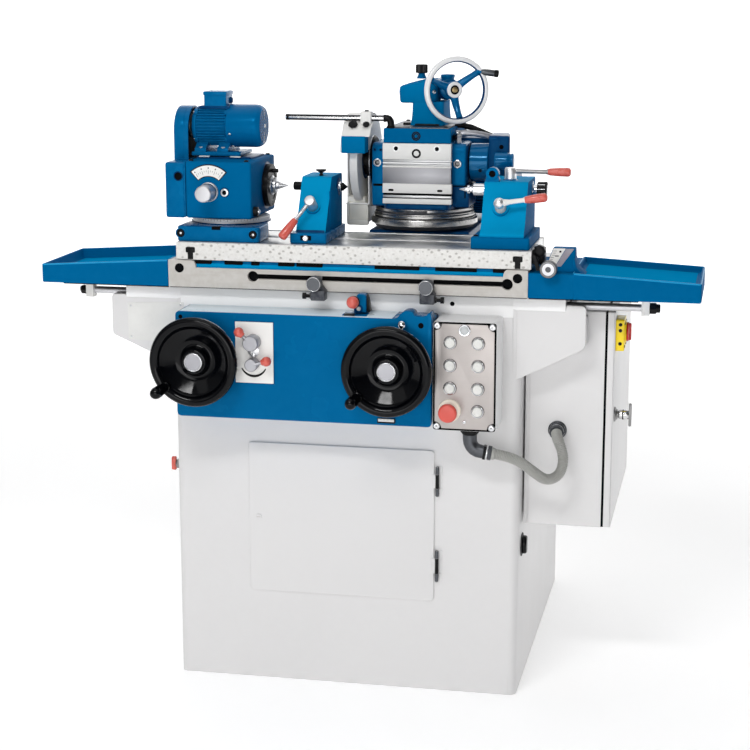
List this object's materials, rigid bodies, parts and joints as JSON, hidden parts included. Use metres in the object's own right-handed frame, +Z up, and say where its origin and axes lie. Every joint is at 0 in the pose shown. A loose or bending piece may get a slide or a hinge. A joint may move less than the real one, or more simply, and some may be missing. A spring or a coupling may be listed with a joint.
{
  "type": "universal grinder",
  "caption": "Bench-height cylindrical grinder: pedestal, sliding swivel table with workhead and tailstocks, swivelling wheelhead on a cross slide, handwheels, levers and button box.",
  "frame": {"origin": "on the floor under the middle of the pedestal footprint", "axes": "+X to the right along the table travel, +Y away from the operator, +Z up"},
  "size_m": [1.46, 1.071, 1.4045],
  "materials": {
    "white_paint": "glossy machine enamel",
    "blue_paint": "glossy machine enamel",
    "grey_paint": "satin enamel",
    "ground_steel": "ground",
    "bare_iron": "machined",
    "bright_chrome": "polished",
    "black_bakelite": "polished",
    "black_oxide": "blackened",
    "red_grip": "moulded",
    "button_white": "moulded",
    "switch_red": "moulded",
    "conduit_grey": "ribbed",
    "panel_grey": "brushed",
    "abrasive": "grained",
    "equipment_grey": "moulded"
  },
  "bodies": {
    "base": {"base_casting": "white_paint", "slideways": "ground_steel", "hydraulics": "grey_paint", "apron_housing": "blue_paint", "control_box": "white_paint", "control_panel": "panel_grey", "panel_fittings": "bright_chrome", "conduit": "conduit_grey", "conduit_fittings": "bright_chrome", "cabinet_box": "white_paint", "cabinet_equipment": "equipment_grey"},
    "base_door": {"base_door": "white_paint"},
    "cabinet_door": {"cabinet_door": "white_paint"},
    "door_lock": {"door_lock": "bright_chrome"},
    "main_switch_knob": {"main_switch_knob": "switch_red"},
    "drain_cock": {"drain_cock": "red_grip"},
    "table_handwheel": {"table_handwheel": "black_bakelite"},
    "feed_handwheel": {"feed_handwheel": "black_bakelite"},
    "speed_lever": {"speed_lever": "red_grip"},
    "start_lever": {"start_lever": "red_grip"},
    "reversing_lever": {"reversing_lever": "black_oxide"},
    "stop_button": {"stop_button": "red_grip"},
    "table": {"lower_table": "grey_paint", "end_trays": "white_paint", "piston_rod": "bright_chrome", "taper_scale_block": "ground_steel"},
    "left_dog": {"left_dog": "black_oxide"},
    "right_dog": {"right_dog": "black_oxide"},
    "taper_knob": {"taper_knob": "bright_chrome"},
    "swivel": {"swivel_table": "ground_steel", "workhead_base": "blue_paint", "footstock_body": "blue_paint", "tailstock_body": "blue_paint"},
    "workhead": {"workhead_body": "blue_paint", "workhead_motor": "blue_paint"},
    "workhead_spindle": {"workhead_spindle": "ground_steel"},
    "workhead_knob": {"workhead_knob": "bright_chrome"},
    "footstock_quill": {"footstock_quill": "ground_steel"},
    "footstock_lever": {"footstock_lever": "red_grip"},
    "tailstock_quill": {"tailstock_quill": "ground_steel"},
    "tailstock_quill_lever": {"tailstock_quill_lever": "red_grip"},
    "tailstock_clamp_lever": {"tailstock_clamp_lever": "red_grip"},
    "cross_slide": {"cross_slide": "bare_iron"},
    "wheelhead": {"wheelhead_body": "blue_paint", "attachment_plate": "white_paint", "wheel_guard": "white_paint", "belt_guard": "blue_paint", "wheel_motor": "blue_paint", "dresser_column": "blue_paint", "coolant_pipe": "bright_chrome"},
    "wheel": {"wheel_spindle": "ground_steel", "grinding_wheel": "abrasive"},
    "dresser_handwheel": {"dresser_handwheel": "bright_chrome"},
    "push_button_1": {"push_button_1": "button_white"},
    "push_button_2": {"push_button_2": "button_white"},
    "push_button_3": {"push_button_3": "button_white"},
    "push_button_4": {"push_button_4": "button_white"},
    "push_button_5": {"push_button_5": "button_white"},
    "push_button_6": {"push_button_6": "button_white"},
    "push_button_7": {"push_button_7": "button_white"}
  },
  "joints": [
    {"name": "base_door_hinge", "type": "hinge", "parent": "base", "child": "base_door", "pos_m": [0.211, -0.43, 0.4], "axis": [0, 0, 1], "range_deg": [0, 110]},
    {"name": "cabinet_door_hinge", "type": "hinge", "parent": "base", "child": "cabinet_door", "pos_m": [0.58, 0.181, 0.63], "axis": [0, 0, 1], "range_deg": [0, 110]},
    {"name": "door_lock_turn", "type": "hinge", "parent": "cabinet_door", "child": "door_lock", "pos_m": [0.59, -0.326, 0.637], "axis": [1, 0, 0], "range_deg": [0, 90]},
    {"name": "main_switch_turn", "type": "hinge", "parent": "cabinet_door", "child": "main_switch_knob", "pos_m": [0.61, -0.319, 0.822], "axis": [1, 0, 0], "range_deg": [0, 90]},
    {"name": "drain_cock_turn", "type": "hinge", "parent": "base", "child": "drain_cock", "pos_m": [-0.391, -0.389, 0.49], "axis": [1, 0, 0], "range_deg": [0, 90]},
    {"name": "table_handwheel_turn", "type": "hinge", "parent": "base", "child": "table_handwheel", "pos_m": [-0.305, -0.547, 0.7635], "axis": [0, 1, 0], "range_deg": [-361, 246]},
    {"name": "feed_handwheel_turn", "type": "hinge", "parent": "base", "child": "feed_handwheel", "pos_m": [0.121, -0.547, 0.7597], "axis": [0, 1, 0], "range_deg": [-3600, 1800]},
    {"name": "speed_lever_turn", "type": "hinge", "parent": "base", "child": "speed_lever", "pos_m": [-0.1805, -0.523, 0.8065], "axis": [0, 1, 0], "range_deg": [0, 90]},
    {"name": "start_lever_turn", "type": "hinge", "parent": "base", "child": "start_lever", "pos_m": [-0.181, -0.523, 0.758], "axis": [0, 1, 0], "range_deg": [-20, 60]},
    {"name": "reversing_lever_swing", "type": "hinge", "parent": "base", "child": "reversing_lever", "pos_m": [0.045, -0.463, 0.88], "axis": [0, 1, 0], "range_deg": [-12, 12]},
    {"name": "push_button_1_press", "type": "slide", "parent": "base", "child": "push_button_1", "axis": [0, 1, 0], "range_m": [0, 0.003], "stiffness_N_per_m": 1000, "springref_m": -0.002},
    {"name": "push_button_2_press", "type": "slide", "parent": "base", "child": "push_button_2", "axis": [0, 1, 0], "range_m": [0, 0.003], "stiffness_N_per_m": 1000, "springref_m": -0.002},
    {"name": "push_button_3_press", "type": "slide", "parent": "base", "child": "push_button_3", "axis": [0, 1, 0], "range_m": [0, 0.003], "stiffness_N_per_m": 1000, "springref_m": -0.002},
    {"name": "push_button_4_press", "type": "slide", "parent": "base", "child": "push_button_4", "axis": [0, 1, 0], "range_m": [0, 0.003], "stiffness_N_per_m": 1000, "springref_m": -0.002},
    {"name": "push_button_5_press", "type": "slide", "parent": "base", "child": "push_button_5", "axis": [0, 1, 0], "range_m": [0, 0.003], "stiffness_N_per_m": 1000, "springref_m": -0.002},
    {"name": "push_button_6_press", "type": "slide", "parent": "base", "child": "push_button_6", "axis": [0, 1, 0], "range_m": [0, 0.003], "stiffness_N_per_m": 1000, "springref_m": -0.002},
    {"name": "push_button_7_press", "type": "slide", "parent": "base", "child": "push_button_7", "axis": [0, 1, 0], "range_m": [0, 0.003], "stiffness_N_per_m": 1000, "springref_m": -0.002},
    {"name": "stop_button_press", "type": "slide", "parent": "base", "child": "stop_button", "axis": [0, 1, 0], "range_m": [0, 0.004], "stiffness_N_per_m": 1500, "springref_m": -0.002},
    {"name": "table_traverse", "type": "slide", "parent": "base", "child": "table", "axis": [1, 0, 0], "range_m": [-0.1, 0.068]},
    {"name": "left_dog_set", "type": "slide", "parent": "table", "child": "left_dog", "axis": [1, 0, 0], "range_m": [-0.12, 0]},
    {"name": "right_dog_set", "type": "slide", "parent": "table", "child": "right_dog", "axis": [-1, 0, 0], "range_m": [-0.15, 0]},
    {"name": "taper_knob_turn", "type": "hinge", "parent": "table", "child": "taper_knob", "pos_m": [0.451, -0.448, 0.976], "axis": [0, 1, 0], "range_deg": [-820, 820]},
    {"name": "table_swivel", "type": "hinge", "parent": "table", "child": "swivel", "pos_m": [0.018, -0.323, 0.98], "axis": [0, 0, 1], "range_deg": [-3, 3]},
    {"name": "workhead_swivel", "type": "hinge", "parent": "swivel", "child": "workhead", "pos_m": [-0.288, -0.299, 1.06], "axis": [0, 0, 1], "range_deg": [-30, 30]},
    {"name": "workhead_spindle_turn", "type": "hinge", "parent": "workhead", "child": "workhead_spindle", "pos_m": [-0.288, -0.263, 1.119], "axis": [1, 0, 0], "continuous": true},
    {"name": "workhead_knob_turn", "type": "hinge", "parent": "workhead", "child": "workhead_knob", "pos_m": [-0.309, -0.403, 1.116], "axis": [0, 1, 0], "range_deg": [-90, 90]},
    {"name": "footstock_quill_slide", "type": "slide", "parent": "swivel", "child": "footstock_quill", "axis": [1, 0, 0], "range_m": [-0.008, 0.015]},
    {"name": "footstock_lever_turn", "type": "hinge", "parent": "swivel", "child": "footstock_lever", "pos_m": [-0.083, -0.36377, 1.084], "axis": [0, -0.8693, 0.4943], "range_deg": [-70, 0]},
    {"name": "tailstock_quill_slide", "type": "slide", "parent": "swivel", "child": "tailstock_quill", "axis": [1, 0, 0], "range_m": [-0.009, 0.009]},
    {"name": "tailstock_quill_lever_swing", "type": "hinge", "parent": "swivel", "child": "tailstock_quill_lever", "pos_m": [0.348, -0.311, 1.15], "axis": [0, 0, 1], "range_deg": [-25, 25]},
    {"name": "tailstock_clamp_lever_turn", "type": "hinge", "parent": "swivel", "child": "tailstock_clamp_lever", "pos_m": [0.337, -0.38122, 1.092], "axis": [0, -0.8765, 0.4815], "range_deg": [-40, 40]},
    {"name": "cross_feed", "type": "slide", "parent": "base", "child": "cross_slide", "axis": [0, 1, 0], "range_m": [-0.05, 0.1]},
    {"name": "wheelhead_swivel", "type": "hinge", "parent": "cross_slide", "child": "wheelhead", "pos_m": [0.112, -0.048, 1.035], "axis": [0, 0, -1], "range_deg": [-30, 30]},
    {"name": "wheel_spin", "type": "hinge", "parent": "wheelhead", "child": "wheel", "pos_m": [0.112, -0.073, 1.163], "axis": [1, 0, 0], "continuous": true},
    {"name": "dresser_handwheel_turn", "type": "hinge", "parent": "wheelhead", "child": "dresser_handwheel", "pos_m": [0.1842, -0.0729, 1.327], "axis": [0.454, -0.891, 0], "range_deg": [-80, 170]}
  ],
  "couplings": [
    {"joint": "table_handwheel_turn", "follows": "table_traverse", "rad_per_m": 62.832},
    {"joint": "feed_handwheel_turn", "follows": "cross_feed", "rad_per_m": -628.32},
    {"joint": "taper_knob_turn", "follows": "table_swivel", "ratio": 273},
    {"joint": "tailstock_quill_slide", "follows": "tailstock_quill_lever_swing", "m_per_rad": -0.0206}
  ]
}
